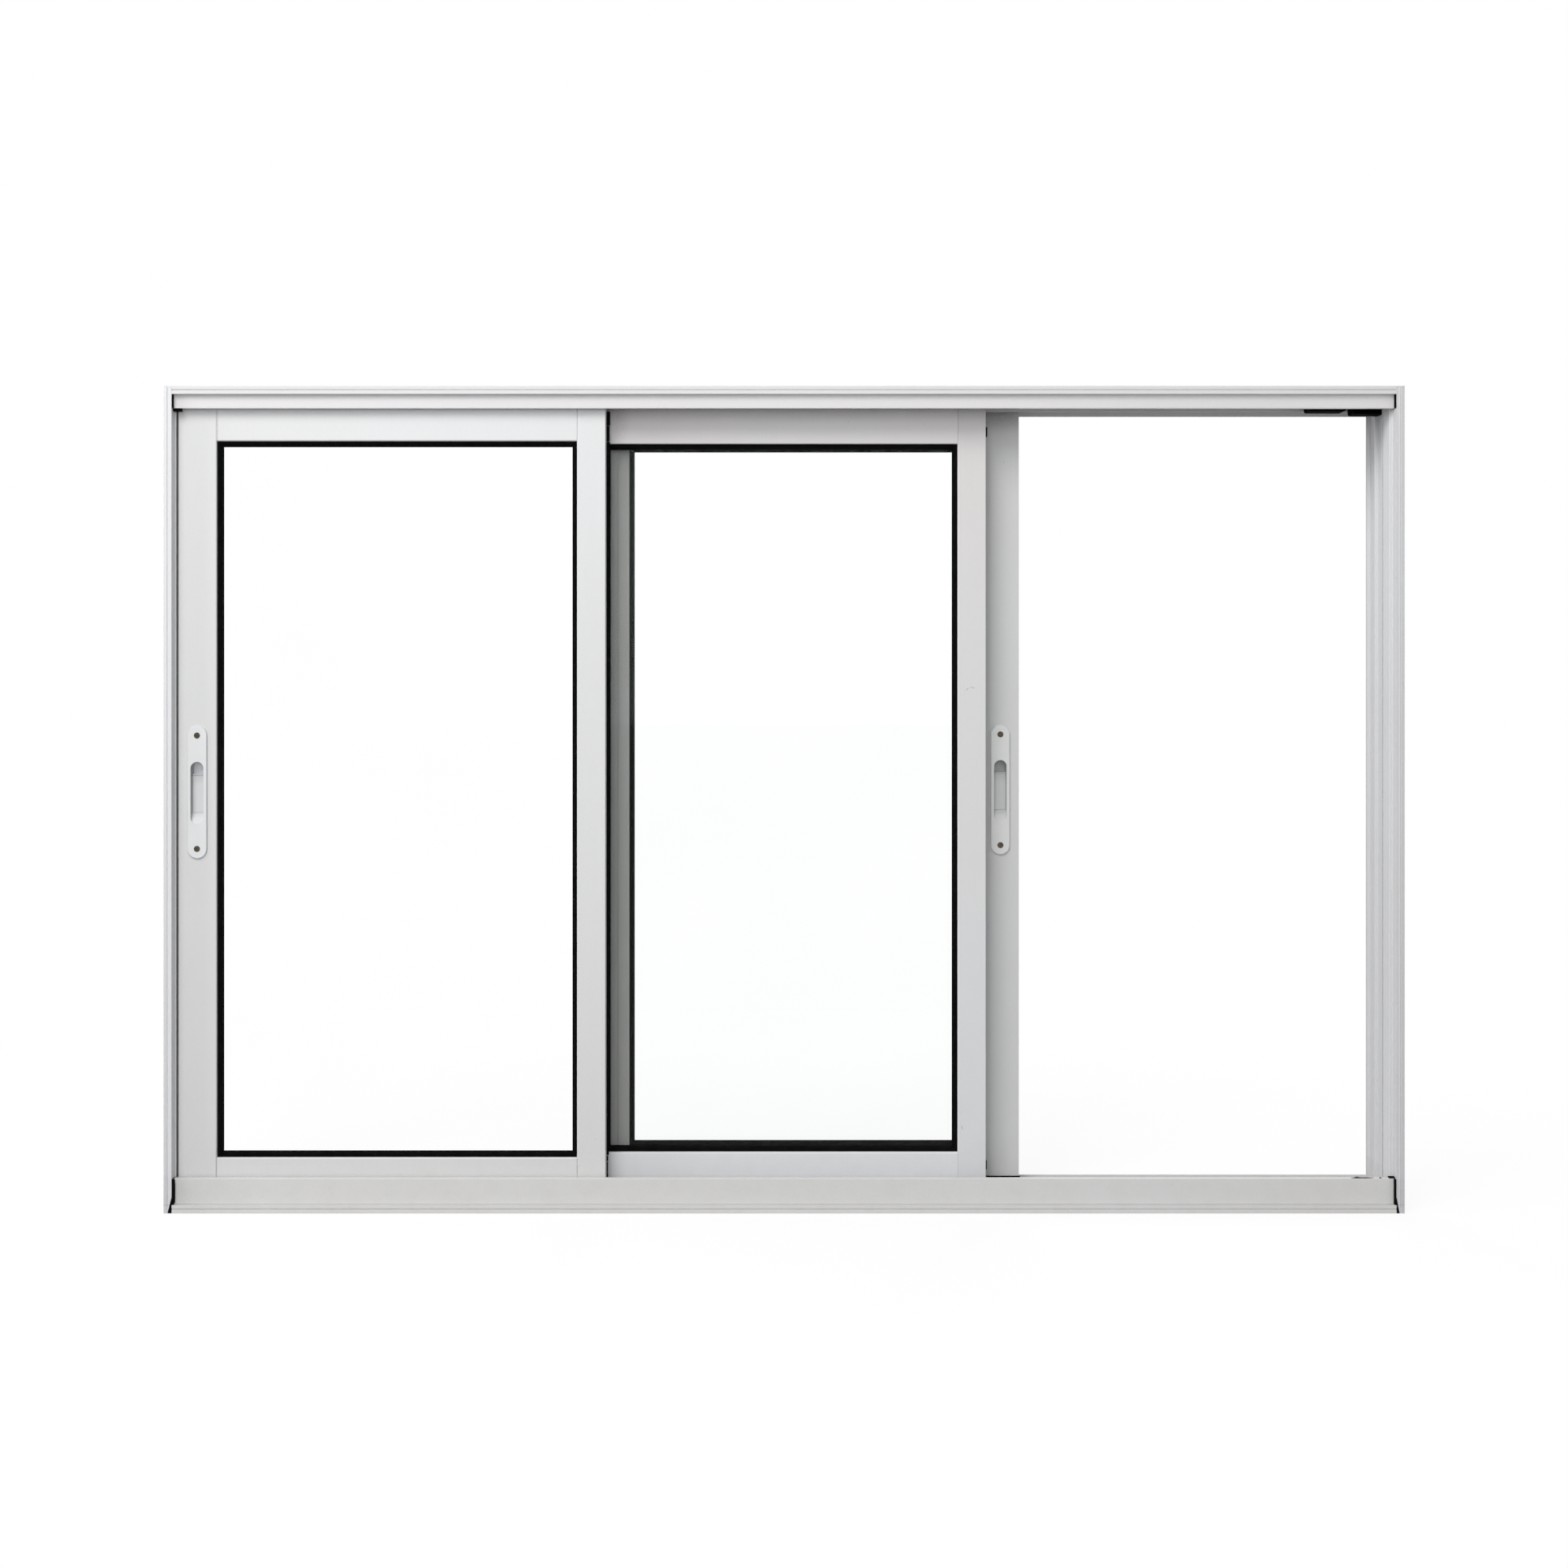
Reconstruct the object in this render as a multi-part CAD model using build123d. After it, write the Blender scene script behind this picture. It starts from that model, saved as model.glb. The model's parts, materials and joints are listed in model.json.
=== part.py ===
"""Three-track aluminium sliding window with three sashes, the rear one slid open.

X runs along the window, Y from the room side (-) to the outside (+) and Z up.
The origin is the middle of the sill's underside. All sizes are in millimetres.
"""
import math
import os

from build123d import *

# Outer frame
frame_width = 1800.0
frame_height = 1200.0
frame_base = 12.0             # height of the hollow base that all four frame bars share
frame_wall = 1.6              # wall of the frame extrusions
fin_groove_width = 1.8        # shadow line along the face of the fin
fin_groove_depth = 1.2
frame_edge_radius = 0.7

# Depth of the window, from the room side to the outside
fin_projection = 7.0          # the outer fin stands proud of head band and sill upstand
upstand_thickness = 8.0
upstand_gap = 5.0             # upstand to the front sash
sash_thickness = 26.0
sash_gap = 8.0                # between neighbouring sashes
rear_gap = 6.0                # rear sash to the outer wall
rear_wall = 2.0
track_count = 3

# Reach of the frame's inner parts, from the outer edge of each bar
head_band_reach = 31.8
head_leg_reach = 26.5         # legs between the channels
head_rear_reach = 28.6        # outer leg
sill_upstand_reach = 49.0
sill_rear_reach = 26.3
sill_rail_reach = 24.0
jamb_leg_reach = 16.8
jamb_lip_reach = 17.7
jamb_rib_reach = 13.8         # rib that holds the draught strip beside the front sash
jamb_rib_setback = 1.0        # rib's back in front of the sash's face
jamb_cover_rise = 4.0         # snap-in cover over the empty front channel of the right jamb
jamb_cover_clearance = 0.5
leg_thickness = 2.0
rail_stem = 2.4
rail_bulb_radius = 2.4

# Drain slots in the outer wall of the sill
drain_slot_length = 30.0
drain_slot_height = 5.0
drain_slot_spacing = 560.0
drain_slot_lift = 5.0         # middle of the slot above the sill's base

# Sashes
lock_stile_width = 55.8
interlock_stile_width = 41.5
sash_rail_height = 60.0
daylight_difference = 5.2     # the middle sash shows this much less glass in width
jamb_gap = 4.2                # closed sash to jamb
sash_lift = 4.0               # underside of the sash above the sill's base
sash_head_gap = 5.7           # top of the sash under the head's base
sash_wall = 1.6
sash_edge_radius = 0.6
glazing_edge_radius = 2.0     # on the edges towards the glass
glazing_groove_depth = 15.0
glazing_groove_width = 16.0
rail_groove_depth = 25.0      # downward groove that holds the rollers
lock_groove_depth = 8.0       # groove in the closing edge of the lock stile
lock_groove_width = 14.0
rail_notch_width = 12.0       # the foot of each stile is notched over the rail
rail_notch_height = 14.0

# Interlock hooks
hook_projection = 6.0
hook_setback = 2.0            # from the edge of the stile
hook_length = 22.0
hook_thickness = 1.6
hook_leg_clearance = 4.0      # under the legs of the head

# Glazing
glass_thickness = 6.0
glass_bite = 10.0             # glass edge inside the groove
gasket_base = 2.0             # rubber round the edge of the glass
gasket_sight = 7.2            # black line that shows round the pane
gasket_bevel = 3.5

# Rest positions
middle_sash_shift = -2.7      # from the middle of the window
rear_stile_show = 53.6        # the rear sash stands out this far beside the middle one

# Rollers
wheel_pitch_radius = 9.5
wheel_groove_angle = 90.0     # of the V that runs on the rail's bulb
wheel_clearance = 0.3         # wheel to rail
axle_radius = 2.0
axle_clearance = 0.1
carriage_length = 46.0
carriage_width = 18.0
carriage_height = 15.0
carriage_inset = 70.0         # middle of a carriage from the end of its rail
wheel_slot_margin = 1.0

# Latches
latch_height = 609.8          # middle of the latch above the sill's underside
latch_plate_length = 194.0
latch_plate_width = 28.5
latch_plate_thickness = 3.0
latch_plate_chamfer = 1.0
latch_slot_length = 90.5
latch_slot_width = 19.0
latch_slot_offset = -1.0      # middle of the slot below the middle of the plate
latch_cup_depth = 17.0        # behind the face of the stile
latch_cup_wall = 1.2
latch_cup_clearance = 0.3     # cup to the cut-out in the stile
latch_pocket_length = 18.0    # open pocket over the slider
latch_ramp_length = 16.0      # finger ramp under the slider
latch_ramp_lip = 0.8          # ramp's lower end under the plate's face
slider_depth = 10.5           # slider's face under the plate's face
slider_clearance = 0.3
slider_grip_radius = 0.9      # ridge across the top of the slider
slider_grip_inset = 1.5

# Corner seals
upper_seal_width = 1.5
lower_seal_width = 2.0
seal_setback = 0.5            # behind the face of the fin
seal_foot_length = 12.0
seal_foot_height = 4.0
seal_tail_height = 24.0
seal_tail_depth = 4.0
left_tail_width = 6.0
right_tail_width = 4.5
sill_foot_length = 8.0
sill_foot_height = 1.8

# Stop blocks in the middle channel of the head
block_clearance = 1.5         # to the legs beside it
block_chamfer = 2.0
corner_block_length = 46.0    # against the right jamb
corner_block_drop = 21.6      # below the head's base
inner_block_length = 54.0
inner_block_drop = 17.5
inner_block_gap = 11.0        # to the corner block

# Worked out from the sizes above
track_pitch = sash_thickness + sash_gap
first_face = fin_projection + upstand_thickness + upstand_gap
frame_depth = (first_face + track_count * sash_thickness + (track_count - 1) * sash_gap
               + rear_gap + rear_wall)
front_y = -frame_depth / 2
jamb_face = frame_width / 2 - frame_base
head_roof = frame_height - frame_base
band_bottom = frame_height - head_band_reach
upstand_limits = (front_y + fin_projection, front_y + fin_projection + upstand_thickness)
track_middles = [first_face + sash_thickness / 2 + i * track_pitch for i in range(track_count)]
leg_middles = [m + track_pitch / 2 for m in track_middles[:-1]]
rib_back = first_face - jamb_rib_setback
sash_bottom = frame_base + sash_lift
sash_top = head_roof - sash_head_gap
sash_height = sash_top - sash_bottom
daylight_height = sash_height - 2 * sash_rail_height
lock_sash_edge = jamb_face - jamb_gap
daylight_width = (2 * (lock_sash_edge - lock_stile_width - interlock_stile_width)
                  + daylight_difference) / track_count
meeting_edge = lock_sash_edge - lock_stile_width - daylight_width - interlock_stile_width
middle_sash_edge = meeting_edge + interlock_stile_width
rear_sash_shift = middle_sash_shift + middle_sash_edge + rear_stile_show - lock_sash_edge
bulb_middle = sill_rail_reach - rail_bulb_radius
groove_half_angle = math.radians(wheel_groove_angle / 2)
wheel_groove_depth = (rail_bulb_radius + wheel_clearance) / math.sin(groove_half_angle)
wheel_width = 2 * wheel_groove_depth * math.tan(groove_half_angle)
half_sash = sash_thickness / 2
same_point = 0.001            # two corners closer than this are one


def rect(a0, a1, b0, b1):
    """Rectangle of a section between two corners."""
    return Pos((a0 + a1) / 2, (b0 + b1) / 2) * Rectangle(a1 - a0, b1 - b0)


def soften(section, corners, radius):
    """Round the named corners of a section."""
    picked = [v for v in section.vertices()
              if any(abs(v.X - a) + abs(v.Y - b) < same_point for a, b in corners)]
    return fillet(picked, radius)


def run_out(section, origin, inward, along, length):
    """Extrude a section: its first axis points inward, and it runs along the bar."""
    place = Plane(origin=origin, x_dir=inward, z_dir=along)
    return extrude(place * section, amount=length)


def slab(x, y, z):
    """Block between two limits on each axis."""
    size = (x[1] - x[0], y[1] - y[0], z[1] - z[0])
    return Pos((x[0] + x[1]) / 2, (y[0] + y[1]) / 2, (z[0] + z[1]) / 2) * Box(*size)


# Frame sections: first axis from the outer edge inward, second axis from the room side outward


def base_section():
    """Hollow base with a web under each leg and a shadow line on the fin."""
    section = rect(0, frame_base, 0, frame_depth)
    walls = [frame_wall / 2] + leg_middles + [frame_depth - frame_wall / 2]
    for near, far in zip(walls[:-1], walls[1:]):
        section -= rect(frame_wall, frame_base - frame_wall, near + frame_wall / 2, far - frame_wall / 2)
    middle = frame_base / 2
    section -= rect(middle - fin_groove_width / 2, middle + fin_groove_width / 2, 0, fin_groove_depth)
    return soften(section, [(0, 0), (frame_base, 0)], frame_edge_radius)


def leg_section(reach, near, far):
    """Plain leg that stands on the base."""
    return rect(frame_base - frame_wall, reach, near, far)


def upstand_section(reach):
    """Hollow upstand behind the fin: the band of the head and the room side of the sill."""
    near = fin_projection
    far = fin_projection + upstand_thickness
    outside = soften(rect(frame_base - frame_wall, reach, near, far), [(reach, near), (reach, far)],
                     frame_edge_radius)
    return outside - rect(frame_base, reach - frame_wall, near + frame_wall, far - frame_wall)


def head_section():
    section = base_section() + upstand_section(head_band_reach)
    for middle in leg_middles:
        section += leg_section(head_leg_reach, middle - leg_thickness / 2, middle + leg_thickness / 2)
    return section + leg_section(head_rear_reach, frame_depth - rear_wall, frame_depth)


def sill_section():
    section = base_section() + upstand_section(sill_upstand_reach)
    for middle in track_middles:
        section += leg_section(bulb_middle, middle - rail_stem / 2, middle + rail_stem / 2)
        section += Pos(bulb_middle, middle) * Circle(rail_bulb_radius)
    return section + leg_section(sill_rear_reach, frame_depth - rear_wall, frame_depth)


def from_jamb(side, length):
    """Limits along X of a piece that stands against a jamb's inner face."""
    return sorted((side * jamb_face, side * (jamb_face - length)))


def trim_upstand_ends(bar, seal_width, reach_limits):
    """Shorten the upstand at both ends by the width of the corner seals."""
    for side in (-1, 1):
        bar -= slab(from_jamb(side, seal_width), upstand_limits, reach_limits)
    return bar


def head():
    bar = run_out(head_section(), (-jamb_face, front_y, frame_height), (0, 0, -1), (1, 0, 0), 2 * jamb_face)
    return trim_upstand_ends(bar, upper_seal_width, (band_bottom, head_roof))


def sill():
    bar = run_out(sill_section(), (jamb_face, front_y, 0), (0, 0, 1), (-1, 0, 0), 2 * jamb_face)
    for i in (-1, 0, 1):
        slot = SlotOverall(drain_slot_length, drain_slot_height)
        place = Plane(origin=(i * drain_slot_spacing, -front_y, frame_base + drain_slot_lift),
                      x_dir=(1, 0, 0), z_dir=(0, -1, 0))
        bar -= extrude(place * slot, amount=rear_wall)
    return trim_upstand_ends(bar, lower_seal_width, (frame_base, sill_upstand_reach))


def tail_wedge(side, width, depth):
    """Wedge at the foot of a jamb where the corner seal shows at the front."""
    face = side * jamb_face
    outline = Polyline((face, 0), (face, seal_tail_height), (face + side * width, 0), close=True)
    place = Plane(origin=(0, front_y, 0), x_dir=(1, 0, 0), z_dir=(0, -1, 0))
    return extrude(place * make_face(outline), amount=-depth)


def jamb(side, tail_width):
    """Jamb with a draught rib, legs between its channels and a rear lip, clear of head and sill."""
    rib = leg_section(jamb_rib_reach, rib_back - leg_thickness, rib_back)
    legs = Sketch() + [leg_section(jamb_leg_reach, m - leg_thickness / 2, m + leg_thickness / 2)
                       for m in leg_middles]
    lip = leg_section(jamb_lip_reach, frame_depth - rear_wall, frame_depth)
    runs = ((base_section(), 0, frame_height),
            (rib, frame_base, head_roof),
            (legs, frame_base, frame_height - head_leg_reach),
            (lip, sill_rear_reach, frame_height - head_rear_reach))
    bars = [run_out(section, jamb_corner(side, bottom, top), (-side, 0, 0), (0, 0, -side), top - bottom)
            for section, bottom, top in runs]
    return bars[0] + bars[1:] - tail_wedge(side, tail_width, seal_tail_depth)


def jamb_corner(side, bottom, top):
    """Start of a jamb's run: its foot on the left, its top on the right."""
    return (side * frame_width / 2, front_y, top if side > 0 else bottom)


def right_jamb_cover():
    """Channel that closes the front track of the right jamb, which no sash closes against."""
    near = rib_back + jamb_cover_clearance
    far = leg_middles[0] - leg_thickness / 2 - jamb_cover_clearance
    top = frame_base + jamb_cover_rise
    section = soften(rect(frame_base, top, near, far), [(top, near), (top, far)], frame_edge_radius)
    section -= rect(frame_base, top - frame_wall, near + frame_wall, far - frame_wall)
    foot = sill_rail_reach + jamb_cover_clearance
    length = head_roof - jamb_cover_clearance - foot
    return run_out(section, jamb_corner(1, foot, foot + length), (-1, 0, 0), (0, 0, -1), length)


def corner_seals():
    """Black pads at the ends of the head band and the sill upstand."""
    y = (front_y + seal_setback, upstand_limits[1])
    seals = []
    for side, tail_width in ((-1, left_tail_width), (1, right_tail_width)):
        upper = slab(from_jamb(side, upper_seal_width), y, (band_bottom, head_roof))
        lower = slab(from_jamb(side, lower_seal_width), y, (frame_base, sill_upstand_reach))
        if side < 0:
            upper += slab(from_jamb(side, seal_foot_length), upstand_limits,
                          (band_bottom - seal_foot_height, band_bottom))
        else:
            lower += slab(from_jamb(side, sill_foot_length), upstand_limits,
                          (sill_upstand_reach, sill_upstand_reach + sill_foot_height))
        tail = tail_wedge(side, tail_width, seal_tail_depth) - tail_wedge(side, tail_width, seal_setback)
        seals += [upper, lower, tail]
    return Compound(children=[s.solid() for s in seals])


def stop_blocks():
    """Two black blocks in the middle channel of the head, at its right end."""
    near = front_y + leg_middles[0] + leg_thickness / 2 + block_clearance
    far = front_y + leg_middles[1] - leg_thickness / 2 - block_clearance
    corner_start = jamb_face - corner_block_length
    inner_end = corner_start - inner_block_gap
    corner = slab((corner_start, jamb_face), (near, far), (head_roof - corner_block_drop, head_roof))
    inner = slab((inner_end - inner_block_length, inner_end), (near, far),
                 (head_roof - inner_block_drop, head_roof))
    blocks = [chamfer(b.faces().sort_by(Axis.Z)[0].edges(), block_chamfer) for b in (inner, corner)]
    return Compound(children=[b.solid() for b in blocks])


# Sash sections: first axis from the outer edge towards the glass, second axis through the thickness


def glazed_section(width, chamber_start):
    """Sash bar with a glazing groove, hollow lips beside it and a chamber behind it."""
    groove_start = width - glazing_groove_depth
    half_groove = glazing_groove_width / 2
    section = rect(0, width, -half_sash, half_sash)
    section = soften(section, [(width, -half_sash), (width, half_sash)], glazing_edge_radius)
    section -= rect(groove_start, width, -half_groove, half_groove)
    section -= rect(chamber_start, groove_start - sash_wall, -half_sash + sash_wall, half_sash - sash_wall)
    for side in (-1, 1):
        lip = sorted((side * (half_groove + sash_wall), side * (half_sash - sash_wall)))
        section -= rect(groove_start, width - sash_wall, *lip)
    return section


def rail_section():
    inner = half_sash - sash_wall
    section = glazed_section(sash_rail_height, rail_groove_depth + sash_wall)
    return section - rect(0, rail_groove_depth, -inner, inner)


def lock_section():
    half = lock_groove_width / 2
    section = glazed_section(lock_stile_width, lock_groove_depth + sash_wall)
    section = soften(section, [(0, -half_sash), (0, half_sash)], sash_edge_radius)
    return section - rect(0, lock_groove_depth, -half, half)


def interlock_section():
    section = glazed_section(interlock_stile_width, sash_wall)
    return soften(section, [(0, -half_sash), (0, half_sash)], sash_edge_radius)


def hook_section():
    """L-shaped hook on one face of an interlock stile, open towards the glass."""
    top = -half_sash - hook_projection
    stem = rect(hook_setback, hook_setback + hook_thickness, top, sash_wall - half_sash)
    return stem + rect(hook_setback, hook_setback + hook_length, top, top + hook_thickness)


def stile(section, x, y, inward, hooked):
    """Upright bar whose outer edge is at x, notched over the rail at its foot."""
    bar = run_out(section, (x, y, sash_bottom), (inward, 0, 0), (0, 0, 1), sash_height)
    if hooked:
        length = frame_height - head_leg_reach - hook_leg_clearance - sash_bottom
        bar += run_out(hook_section(), (x, y, sash_bottom), (inward, 0, 0), (0, 0, 1), length)
    half_notch = rail_notch_width / 2
    notch = slab(sorted((x, x + inward * lock_stile_width)), (y - half_notch, y + half_notch),
                 (sash_bottom, sash_bottom + rail_notch_height))
    return bar - notch


def sash_rails(left, right, y):
    """Top and bottom rail between the stiles' inner edges."""
    bottom = run_out(rail_section(), (left, y, sash_bottom), (0, 0, 1), (1, 0, 0), right - left)
    top = run_out(rail_section(), (left, y, sash_top), (0, 0, -1), (1, 0, 0), right - left)
    return top, bottom


def pane_and_gasket(left, right, y):
    """Pane of glass, and the rubber channel that wraps its edge."""
    x_middle = (left + right) / 2
    z_middle = (sash_bottom + sash_top) / 2
    width = right - left
    place = Pos(x_middle, y, z_middle)
    pane = Box(width + 2 * glass_bite, glass_thickness, daylight_height + 2 * glass_bite)
    wrap = 2 * (glass_bite + gasket_base)
    gasket = Box(width + wrap, glazing_groove_width, daylight_height + wrap)
    gasket -= Box(width - 2 * gasket_sight, glazing_groove_width, daylight_height - 2 * gasket_sight)
    inner_edges = [e for side in (Axis.Y, -Axis.Y)
                   for e in gasket.faces().sort_by(side)[0].inner_wires()[0].edges()]
    gasket = chamfer(inner_edges, gasket_bevel) - pane
    return place * pane, place * gasket


def wheel_rim():
    """Half section of a wheel, with a V groove whose flanks run on the rail's bulb."""
    half = wheel_width / 2
    outline = Polyline((0, -half), (wheel_pitch_radius, -half), (wheel_pitch_radius - wheel_groove_depth, 0),
                       (wheel_pitch_radius, half), (0, half), close=True)
    return make_face(outline.edges())


def rollers(left, right, y):
    """Two wheels on the rail and the carriages that hold them in the bottom rail."""
    axle_z = bulb_middle + wheel_pitch_radius
    roof = sash_bottom + rail_groove_depth
    across = Rotation(90, 0, 0)
    wheels = []
    carriages = []
    for x in (left + carriage_inset, right - carriage_inset):
        place = Pos(x, y, axle_z)
        wheel = revolve(Plane.XZ * wheel_rim(), Axis.Z) + Cylinder(axle_radius, carriage_width)
        wheels.append((place * across * wheel).solid())
        half = carriage_width / 2
        body = slab((x - carriage_length / 2, x + carriage_length / 2), (y - half, y + half),
                    (roof - carriage_height, roof))
        reach = wheel_pitch_radius + wheel_slot_margin
        slot_half = wheel_width / 2 + wheel_slot_margin
        body -= slab((x - reach, x + reach), (y - slot_half, y + slot_half), (sash_bottom, roof))
        body -= place * across * Cylinder(axle_radius + axle_clearance, carriage_width)
        carriages.append(body.solid())
    return Compound(children=wheels), Compound(children=carriages)


# Latches


def latch_face(x, y):
    """Plane on the stile's face at the middle of the latch, first axis up and normal to the room."""
    return Plane(origin=(x, y - half_sash, latch_height), x_dir=(0, 0, 1), z_dir=(0, -1, 0))


def cup_outline(margin):
    """Outline of the finger slot, grown by a margin."""
    slot = SlotOverall(latch_slot_length + 2 * margin, latch_slot_width + 2 * margin)
    return Pos(latch_slot_offset, 0) * slot


def latch_cut_out(x, y):
    """Opening in the face of the stile for the latch's cup."""
    outline = latch_face(x, y) * cup_outline(latch_cup_wall + latch_cup_clearance)
    return extrude(outline, amount=-sash_wall)


def latch_plate(x, y):
    """Stadium plate with a cup for the fingers and a ramp at its lower end."""
    face = latch_face(x, y)
    plate = extrude(face * SlotOverall(latch_plate_length, latch_plate_width), amount=latch_plate_thickness)
    plate = chamfer(plate.faces().sort_by(Axis.Y)[0].edges(), latch_plate_chamfer)
    cup = extrude(face * cup_outline(latch_cup_wall), amount=-latch_cup_depth)
    deep = latch_cup_depth - latch_cup_wall
    hollow = extrude(face.offset(-deep) * cup_outline(0), amount=deep + latch_plate_thickness)
    low = latch_slot_offset - latch_slot_length / 2
    ramp_top = low + latch_ramp_length
    side_view = Polyline((low, -deep), (low, latch_plate_thickness - latch_ramp_lip),
                         (ramp_top, latch_plate_thickness - slider_depth), (ramp_top, -deep), close=True)
    place = Plane(origin=face.origin, x_dir=(0, 0, 1), z_dir=(1, 0, 0))
    ramp = extrude(place * make_face(side_view.edges()), amount=latch_slot_width / 2, both=True)
    return plate + cup - hollow + (ramp & hollow)


def latch_slider(x, y):
    """Thumb slider on the floor of the cup, with a ridge across its upper end."""
    face = latch_face(x, y)
    low = latch_slot_offset - latch_slot_length / 2 + latch_ramp_length + slider_clearance
    high = latch_slot_offset + latch_slot_length / 2 - latch_pocket_length
    half = latch_slot_width / 2 - slider_clearance
    floor = latch_cup_depth - latch_cup_wall
    body = extrude(face.offset(-floor) * rect(low, high, -half, half),
                   amount=floor + latch_plate_thickness - slider_depth)
    grip_middle = face.offset(latch_plate_thickness - slider_depth) * Pos(high - slider_grip_inset, 0)
    bar = grip_middle * Rotation(90, 0, 0) * Cylinder(slider_grip_radius, 2 * half)
    return body + bar


def export(name, shape):
    export_step(shape, "parts/" + name + ".step")


def track_y(track):
    return front_y + track_middles[track]


def build_frame():
    export("frame_head", head())
    export("frame_sill", sill())
    export("left_jamb", jamb(-1, left_tail_width))
    export("right_jamb", jamb(1, right_tail_width))
    export("right_jamb_cover", right_jamb_cover())
    export("corner_seals", corner_seals())
    export("head_stop_blocks", stop_blocks())


def build_filling(sash, left, right, y):
    """Everything of a sash between the inner edges of its stiles."""
    top, bottom = sash_rails(left, right, y)
    pane, gasket = pane_and_gasket(left, right, y)
    wheels, carriages = rollers(left, right, y)
    export(sash + "_top_rail", top)
    export(sash + "_bottom_rail", bottom)
    export(sash + "_pane", pane)
    export(sash + "_gasket", gasket)
    export(sash + "_roller_wheels", wheels)
    export(sash + "_roller_carriages", carriages)


def build_lock_sash(sash, track, side, shift):
    """Sash that closes against a jamb and carries a latch: side -1 is left, 1 is right."""
    y = track_y(track)
    closing_edge = side * lock_sash_edge + shift
    far_edge = side * meeting_edge + shift
    latch_x = closing_edge - side * lock_stile_width / 2
    lock = stile(lock_section(), closing_edge, y, -side, False) - latch_cut_out(latch_x, y)
    export(sash + "_lock_stile", lock)
    export(sash + "_interlock_stile", stile(interlock_section(), far_edge, y, side, True))
    inner = sorted((closing_edge - side * lock_stile_width, far_edge + side * interlock_stile_width))
    build_filling(sash, *inner, y)
    export(sash + "_latch_plate", latch_plate(latch_x, y))
    export(sash + "_latch_slider", latch_slider(latch_x, y))


def build_middle_sash(sash, track, shift):
    y = track_y(track)
    left = shift - middle_sash_edge
    right = shift + middle_sash_edge
    export(sash + "_left_stile", stile(interlock_section(), left, y, 1, True))
    export(sash + "_right_stile", stile(interlock_section(), right, y, -1, True))
    build_filling(sash, left + interlock_stile_width, right - interlock_stile_width, y)


os.makedirs("parts", exist_ok=True)
build_frame()
build_lock_sash("front_sash", 0, -1, 0.0)
build_middle_sash("middle_sash", 1, middle_sash_shift)
build_lock_sash("rear_sash", 2, 1, rear_sash_shift)
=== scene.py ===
"""Looks of the three-track sliding window: finishes, small fittings, light and camera."""
import json
import math
import random

import bmesh
import bpy
from mathutils import Matrix, Vector


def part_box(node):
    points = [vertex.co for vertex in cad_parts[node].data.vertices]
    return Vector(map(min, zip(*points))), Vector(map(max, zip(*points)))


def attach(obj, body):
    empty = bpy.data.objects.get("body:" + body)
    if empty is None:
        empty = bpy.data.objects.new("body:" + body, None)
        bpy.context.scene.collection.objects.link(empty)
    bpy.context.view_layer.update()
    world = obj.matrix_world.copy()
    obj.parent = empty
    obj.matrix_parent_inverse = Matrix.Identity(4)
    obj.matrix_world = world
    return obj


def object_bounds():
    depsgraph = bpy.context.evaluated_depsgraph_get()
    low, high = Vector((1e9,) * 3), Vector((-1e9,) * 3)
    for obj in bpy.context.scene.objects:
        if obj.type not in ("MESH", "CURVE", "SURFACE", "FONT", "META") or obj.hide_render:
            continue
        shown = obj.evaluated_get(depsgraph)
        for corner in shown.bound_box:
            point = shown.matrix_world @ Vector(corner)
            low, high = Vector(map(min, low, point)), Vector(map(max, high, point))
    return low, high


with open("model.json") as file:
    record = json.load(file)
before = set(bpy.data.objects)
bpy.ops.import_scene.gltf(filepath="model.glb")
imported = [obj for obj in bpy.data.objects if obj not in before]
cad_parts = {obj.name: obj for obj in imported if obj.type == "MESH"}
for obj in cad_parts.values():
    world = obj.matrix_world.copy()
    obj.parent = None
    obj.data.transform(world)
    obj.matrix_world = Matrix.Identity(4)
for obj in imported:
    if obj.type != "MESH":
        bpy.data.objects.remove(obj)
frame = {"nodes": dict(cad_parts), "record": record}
cad_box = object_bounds()
nodes = frame["nodes"]
scene = bpy.context.scene

# Places on the window, in metres, that marks and fittings are set out from

window_height = cad_box[1].z
mid_height = window_height / 2
jamb_edge = cad_box[1].x
sill_low, sill_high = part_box("frame_sill")
frame_face, frame_back = sill_low.y, sill_high.y
jamb_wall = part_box("right_jamb")[0].x
cover_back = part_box("right_jamb_cover")[1].y
front_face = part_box("front_sash_lock_stile")[0].y
front_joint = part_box("front_sash_lock_stile")[1].x
front_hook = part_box("front_sash_interlock_stile")[1]
middle_low, middle_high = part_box("middle_sash_right_stile")
rear_hook_low, rear_hook_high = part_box("rear_sash_interlock_stile")
rear_lock_low, rear_lock_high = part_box("rear_sash_lock_stile")


# Node helpers


def new_material(name):
    material = bpy.data.materials.new(name)
    material.use_nodes = True
    tree = material.node_tree
    tree.nodes.clear()
    output = tree.nodes.new("ShaderNodeOutputMaterial")
    shader = tree.nodes.new("ShaderNodeBsdfPrincipled")
    tree.links.new(shader.outputs[0], output.inputs[0])
    return material, tree, shader


def coords(tree, scale=(1, 1, 1)):
    """Object coordinates in metres, stretched by scale."""
    source = tree.nodes.new("ShaderNodeTexCoord")
    mapping = tree.nodes.new("ShaderNodeMapping")
    mapping.inputs["Scale"].default_value = scale
    tree.links.new(source.outputs["Object"], mapping.inputs["Vector"])
    return mapping.outputs["Vector"]


def axis(tree, which):
    """One object coordinate, in metres."""
    split = tree.nodes.new("ShaderNodeSeparateXYZ")
    tree.links.new(coords(tree), split.inputs[0])
    return split.outputs[which]


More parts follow.
